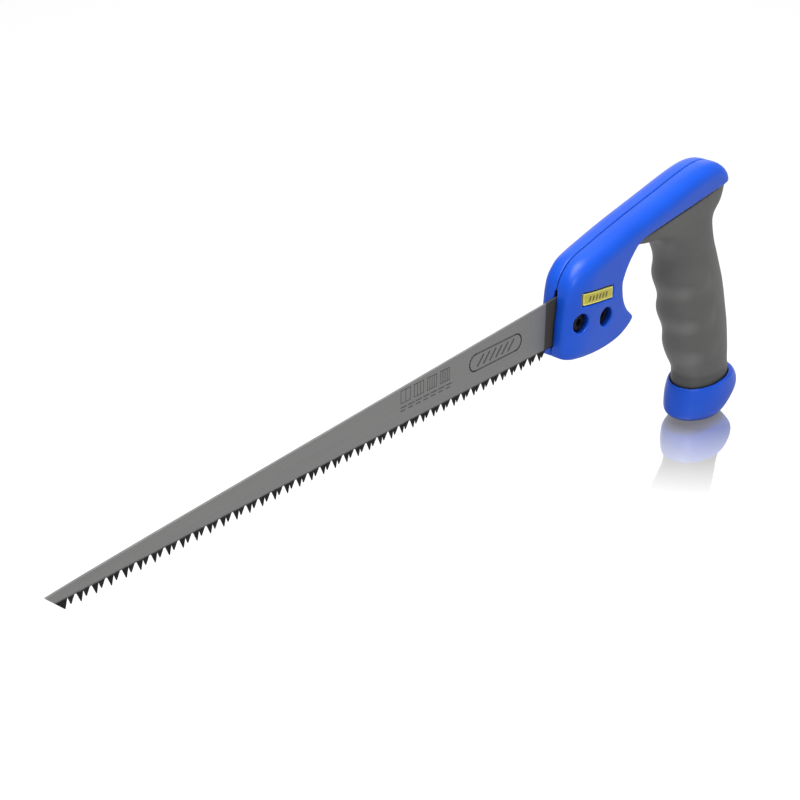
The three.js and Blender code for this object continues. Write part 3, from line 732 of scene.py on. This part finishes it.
class Surface:
    """A procedural material: a Principled shader and the nodes that feed it."""

    def __init__(self, name):
        self.material = bpy.data.materials.new(name)
        self.material.use_nodes = True
        self.tree = self.material.node_tree
        self.tree.nodes.clear()
        self.output = self.tree.nodes.new("ShaderNodeOutputMaterial")
        self.shader = self.tree.nodes.new("ShaderNodeBsdfPrincipled")
        self.link(self.shader.outputs[0], self.output.inputs[0])
        self.coordinates = self.tree.nodes.new("ShaderNodeTexCoord").outputs["Object"]

    def link(self, source, target):
        self.tree.links.new(source, target)

    def feed(self, socket, value):
        """Gives a socket another node's output, or a plain value."""
        if isinstance(value, bpy.types.NodeSocket):
            self.link(value, socket)
        else:
            socket.default_value = value

    def set(self, **values):
        for name, value in values.items():
            self.feed(self.shader.inputs[name.replace("_", " ")], value)

    def math(self, operation, *values):
        node = self.tree.nodes.new("ShaderNodeMath")
        node.operation = operation
        for socket, value in zip(node.inputs, values):
            self.feed(socket, value)
        return node.outputs[0]

    def plus(self, first, second):
        return self.math("ADD", first, second)

    def minus(self, first, second):
        return self.math("SUBTRACT", first, second)

    def times(self, first, second):
        return self.math("MULTIPLY", first, second)

    def noise(self, scale, detail=3, roughness=0.55, stretch=(1, 1, 1)):
        """Noise between about 0.3 and 0.7, with features of 1/scale metres."""
        mapping = self.tree.nodes.new("ShaderNodeMapping")
        mapping.inputs["Scale"].default_value = stretch
        self.link(self.coordinates, mapping.inputs["Vector"])
        node = self.tree.nodes.new("ShaderNodeTexNoise")
        node.inputs["Scale"].default_value = scale
        node.inputs["Detail"].default_value = detail
        node.inputs["Roughness"].default_value = roughness
        self.link(mapping.outputs[0], node.inputs["Vector"])
        return node.outputs[0]

    def spread(self, value, low, high, from_low=0.3, from_high=0.7):
        """Maps a value from one range to another, held at both ends."""
        node = self.tree.nodes.new("ShaderNodeMapRange")
        for name, number in zip(("From Min", "From Max", "To Min", "To Max"),
                                (from_low, from_high, low, high)):
            node.inputs[name].default_value = number
        self.link(value, node.inputs["Value"])
        return node.outputs[0]

    def mix(self, factor, first, second):
        node = self.tree.nodes.new("ShaderNodeMix")
        node.data_type = "RGBA"
        self.feed(node.inputs[0], factor)
        self.feed(node.inputs[6], first)
        self.feed(node.inputs[7], second)
        return node.outputs[2]

    def blotches(self, noise, first, second):
        """Two colours that take turns with a noise."""
        return self.mix(self.spread(noise, 0, 1), first, second)

    def bump(self, height, strength, distance, below=None):
        node = self.tree.nodes.new("ShaderNodeBump")
        node.inputs["Strength"].default_value = strength
        node.inputs["Distance"].default_value = distance
        self.link(height, node.inputs["Height"])
        if below is not None:
            self.link(below, node.inputs["Normal"])
        return node.outputs[0]

    def drawing_axes(self):
        """The drawing frame's X, Y and Z in millimetres, as sockets."""
        split = self.tree.nodes.new("ShaderNodeSeparateXYZ")
        self.link(self.coordinates, split.inputs[0])
        return [self.minus(self.times(split.outputs[i], 1 / MM), SHIFT[i]) for i in range(3)]

    def crevice_shade(self, reach, low, high):
        """From 0 in the open to 1 deep in a well or groove: the mask for shade painted into
        crevices.
        """
        node = self.tree.nodes.new("ShaderNodeAmbientOcclusion")
        node.samples = 8
        node.inputs["Distance"].default_value = reach
        return self.spread(node.outputs["AO"], 1, 0, low, high)

    def edges(self, low, high):
        """From 0 on plain faces to 1 on sharp convex edges."""
        node = self.tree.nodes.new("ShaderNodeNewGeometry")
        return self.spread(node.outputs["Pointiness"], 0, 1, low, high)


def colour(red, green, blue):
    return (red, green, blue, 1)


def blue_plastic():
    look = Surface("blue_plastic")
    cloud = look.noise(30, 2)
    grain = look.noise(2600, 2)
    base = look.blotches(cloud, colour(0.003, 0.05, 0.38), colour(0.004, 0.06, 0.44))
    base = look.mix(look.times(look.edges(0.52, 0.6), 0.25), base, colour(0.02, 0.11, 0.62))
    # Painted shade: the blue turns dark navy deep in the wells, seams and grooves.
    base = look.mix(look.crevice_shade(0.008, 0.35, 0.8), base, colour(0.001, 0.01, 0.1))
    look.set(Base_Color=base, Roughness=look.spread(grain, 0.32, 0.44),
             Normal=look.bump(grain, 0.08, 0.0001))
    look.set(Specular_IOR_Level=0.22, IOR=1.5)
    return look.material


def painted_crest_highlights(look, x, z):
    """Up to 0.7 where highlights are painted on the grip's finger swells, and 0 elsewhere."""
    behind = look.plus(look.minus(x, HIGHLIGHT_FRONT), look.times(z, HIGHLIGHT_LEAN))
    off_line = look.math("ABSOLUTE", look.minus(behind, HIGHLIGHT_BEHIND))
    turns = look.times(look.minus(z, HIGHLIGHT_CREST), 2 * math.pi / HIGHLIGHT_SPACING)
    highlight = look.times(look.spread(off_line, 1, 0, 0, HIGHLIGHT_REACH),
                      look.spread(look.math("COSINE", turns), 0, 0.7, -0.2, 1))
    highlight = look.times(highlight, look.spread(z, 1, 0, HIGHLIGHT_TOP, HIGHLIGHT_TOP + HIGHLIGHT_FADE))
    return look.times(highlight, look.spread(z, 0, 1, HIGHLIGHT_LOW - HIGHLIGHT_FADE, HIGHLIGHT_LOW))


def grip_rubber():
    look = Surface("grip_rubber")
    cloud = look.noise(24, 3)
    grain = look.noise(1500, 3, 0.6)
    pores = look.noise(4200, 2)
    base = look.blotches(cloud, colour(0.046, 0.046, 0.045), colour(0.06, 0.06, 0.058))
    base = look.mix(look.spread(pores, 0, 0.35), base, colour(0.09, 0.09, 0.087))
    x, _, z = look.drawing_axes()
    # Painted highlight: lighter grey on the finger swells' crests just behind the grip's front
    # line.
    base = look.mix(painted_crest_highlights(look, x, z), base, colour(0.105, 0.105, 0.102))
    # Painted shade: the grip is darker below the neck, as in the shadow of the swell above it.
    base = look.mix(look.spread(z, 0.45, 0, NECK - 1, NECK + 1), base, colour(0.02, 0.02, 0.02))
    # Painted shade: the rubber turns near black deep in creases and gaps.
    base = look.mix(look.crevice_shade(0.012, 0.3, 0.9), base, colour(0.012, 0.012, 0.012))
    look.set(Base_Color=base, Roughness=look.spread(grain, 0.45, 0.6),
             Normal=look.bump(grain, 0.22, 0.0002))
    look.set(Specular_IOR_Level=0.4)
    return look.material


def blade_steel():
    look = Surface("blade_steel")
    x, _, z = look.drawing_axes()
    brushed = look.noise(60, 4, 0.6, stretch=(0.25, 1, 22))
    speckle = look.noise(1700, 2, 0.5)
    wobble = look.times(look.minus(look.noise(500, 2), 0.5), 0.8)
    base = look.blotches(brushed, colour(0.15, 0.15, 0.149), colour(0.185, 0.185, 0.183))
    base = look.mix(look.spread(speckle, 0, 0.45), base, colour(0.21, 0.21, 0.207))
    hardened = look.spread(look.plus(z, wobble), 1, 0, TOOTH_DEPTH - 0.1, TOOTH_DEPTH + 0.9)
    # Painted shadow of the head: next to the head the blade is near black, duller and less
    # metallic.
    head_shadow = look.spread(x, 0, 1, HEAD_SHADOW_START, HEAD_SHADOW_START + 1)
    base = look.mix(look.times(head_shadow, 0.88), base, colour(0.016, 0.013, 0.009))
    base = look.mix(hardened, base, colour(0.006, 0.006, 0.007))
    dark = look.math("MAXIMUM", hardened, head_shadow)
    look.set(Base_Color=base, Metallic=look.spread(dark, 0.7, 0, 0, 1),
             Roughness=look.plus(look.spread(brushed, 0.36, 0.5), look.times(dark, 0.2)),
             Normal=look.bump(speckle, 0.12, 0.00012, below=look.bump(brushed, 0.1, 0.0001)))
    look.set(Specular_IOR_Level=0.12)
    return look.material


def badge_yellow():
    look = Surface("badge_yellow")
    cloud = look.noise(160, 3)
    base = look.blotches(cloud, colour(0.3, 0.265, 0.004), colour(0.36, 0.32, 0.008))
    look.set(Base_Color=base, Roughness=look.spread(look.noise(900), 0.35, 0.5))
    return look.material


def ink(name, tint):
    """Printing ink of a tint, a little uneven."""
    look = Surface(name)
    base = look.blotches(look.noise(700), colour(*tint), colour(*(1.6 * c for c in tint)))
    look.set(Base_Color=base, Roughness=look.spread(look.noise(1200), 0.45, 0.65))
    return look.material


def black_oxide():
    look = Surface("black_oxide")
    base = look.blotches(look.noise(600), colour(0.003, 0.003, 0.005), colour(0.007, 0.007, 0.01))
    base = look.mix(look.times(look.edges(0.52, 0.62), 0.5), base, colour(0.03, 0.03, 0.034))
    look.set(Base_Color=base, Metallic=0, Roughness=look.spread(look.noise(1500), 0.4, 0.6))
    look.set(Specular_IOR_Level=0.08)
    return look.material


def zinc_plate():
    look = Surface("zinc_plate")
    base = look.blotches(look.noise(800), colour(0.5, 0.51, 0.52), colour(0.62, 0.63, 0.63))
    look.set(Base_Color=base, Metallic=0.95, Roughness=look.spread(look.noise(1500), 0.22, 0.4))
    return look.material


MATERIALS = {
    "blue_plastic": blue_plastic(),
    "grip_rubber": grip_rubber(),
    "blade_steel": blade_steel(),
    "yellow_badge": badge_yellow(),
    "black_steel": black_oxide(),
    "zinc_steel": zinc_plate(),
}
BLADE_INK = ink("blade_ink", (0.02, 0.02, 0.02))
BADGE_INK = ink("badge_ink", (0.05, 0.045, 0.008))
BADGE_EDGE = ink("badge_edge", (0.4, 0.4, 0.13))

# ---------------------------------------------------------------- pieces of the saw

SLOT_OF = {entry["node"]: entry["material_slot"] for entry in frame["record"]["subparts"]}
for node, cad_object in frame["nodes"].items():
    cad_object.data.materials.clear()
    cad_object.data.materials.append(MATERIALS[SLOT_OF[node]])


def finish_piece(obj, node, smooth_angle=None):
    """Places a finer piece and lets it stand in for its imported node."""
    slot = SLOT_OF[node]
    place(obj, body_of(node), MATERIALS[slot], smooth_angle)
    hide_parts(node)


for side_name, side in (("left", -1), ("right", 1)):
    shell, badge, head_surface = make_shell(side_name, side)
    finish_piece(shell, f"{side_name}_handle_shell")
    finish_piece(badge, f"{side_name}_badge_plate", 30)
    marks = badge_marks(side_name, head_surface, side)
    place(marks, body_of(f"{side_name}_badge_plate"), BADGE_INK, 30)
    border = badge_border(side_name, head_surface, side)
    place(border, body_of(f"{side_name}_badge_plate"), BADGE_EDGE, 30)

finish_piece(make_sleeve(), "grip_sleeve")
finish_piece(make_cap(), "base_cap")
finish_piece(make_cap_screw(), "base_cap_screw", 35)
for clamp_name, (x, z) in CLAMPS.items():
    finish_piece(make_clamp_screw(clamp_name, x, z), f"{clamp_name}_clamp_screw", 35)
    finish_piece(make_washer(clamp_name, x, z), f"{clamp_name}_clamp_washer", 35)
    finish_piece(make_nut(clamp_name, x, z), f"{clamp_name}_clamp_nut", 35)
place(blade_marks(), body_of("blade"), BLADE_INK, 30)

# ---------------------------------------------------------------- floor, light and camera

FLOOR_HALF, FLOOR_DROP = 6, 0.0002     # metres, and so are the mirror's distances
MIRROR_SHARE, MIRROR_FULL, MIRROR_END = 0.78, 0.025, 0.11
LIGHTS = [                             # name, place, aim, diameter in metres, watts
    ("top_softbox", (-0.15, -0.1, 1.3), (0.05, 0, 0.1), 1.0, 31),
    ("front_softbox", (-0.6, -1.25, 0.8), (0.1, 0, 0.1), 0.45, 9),
    ("backdrop", (2.1, 1.9, 1.5), (0.1, 0, 0.1), 3.4, 26),
]
WORLD_STRENGTH = 0.42
VIEW_AZIMUTH, VIEW_ELEVATION = math.radians(-47.363), math.radians(27.596)
AIM, DISTANCE, LENS, SENSOR = Vector((-0.0190, 0.0254, 0.0872)), 0.744, 69.64, 36


def make_floor():
    """A wide white floor that mirrors faintly round the base cap."""
    corners = [(-1, -1), (1, -1), (1, 1), (-1, 1)]
    mesh = bpy.data.meshes.new("floor")
    points = [(x * FLOOR_HALF, y * FLOOR_HALF, 0) for x, y in corners]
    mesh.from_pydata(points, [], [(0, 1, 2, 3)])
    floor = bpy.data.objects.new("floor", mesh)
    bpy.context.scene.collection.objects.link(floor)
    floor.location.z = -FLOOR_DROP
    look = Surface("floor_white")
    look.set(Base_Color=colour(0.15, 0.15, 0.15), Roughness=0.6, Specular_IOR_Level=0.1)
    look.set(Emission_Color=colour(1, 1, 1), Emission_Strength=0.78)
    mirror = look.tree.nodes.new("ShaderNodeBsdfGlossy")
    mirror.inputs["Color"].default_value = colour(0.95, 0.95, 0.95)
    mirror.inputs["Roughness"].default_value = 0.04
    cap_middle = (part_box("base_cap")[0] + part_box("base_cap")[1]) / 2
    distance = look.tree.nodes.new("ShaderNodeVectorMath")
    distance.operation = "DISTANCE"
    look.link(look.coordinates, distance.inputs[0])
    distance.inputs[1].default_value = (cap_middle.x, cap_middle.y, 0)
    blend = look.tree.nodes.new("ShaderNodeMixShader")
    share = look.spread(distance.outputs["Value"], MIRROR_SHARE, 0, MIRROR_FULL, MIRROR_END)
    look.link(share, blend.inputs[0])
    look.link(look.shader.outputs[0], blend.inputs[1])
    look.link(mirror.outputs[0], blend.inputs[2])
    look.link(blend.outputs[0], look.output.inputs[0])
    mesh.materials.append(look.material)


def area_light(name, location, target, size, power):
    data = bpy.data.lights.new(name, "AREA")
    data.shape, data.size, data.energy = "DISK", size, power
    light = bpy.data.objects.new(name, data)
    light.location = location
    light.rotation_euler = (Vector(target) - Vector(location)).to_track_quat("-Z", "Y").to_euler()
    bpy.context.scene.collection.objects.link(light)


make_floor()
for light_values in LIGHTS:
    area_light(*light_values)

world = bpy.data.worlds.new("studio")
world.use_nodes = True
background = world.node_tree.nodes["Background"]
background.inputs["Color"].default_value = colour(1, 1, 1)
background.inputs["Strength"].default_value = WORLD_STRENGTH
bpy.context.scene.world = world
bpy.context.scene.view_settings.view_transform = "Standard"

forward = Vector((-math.sin(VIEW_AZIMUTH) * math.cos(VIEW_ELEVATION),
                  math.cos(VIEW_AZIMUTH) * math.cos(VIEW_ELEVATION),
                  -math.sin(VIEW_ELEVATION)))
camera = bpy.data.objects.new("camera", bpy.data.cameras.new("camera"))
camera.data.lens, camera.data.sensor_width = LENS, SENSOR
camera.data.clip_start, camera.data.clip_end = 0.01, 50
camera.location = AIM - forward * DISTANCE
camera.rotation_euler = forward.to_track_quat("-Z", "Y").to_euler()
bpy.context.scene.collection.objects.link(camera)
bpy.context.scene.camera = camera

# ---------------------------------------------------------------- the end

import json
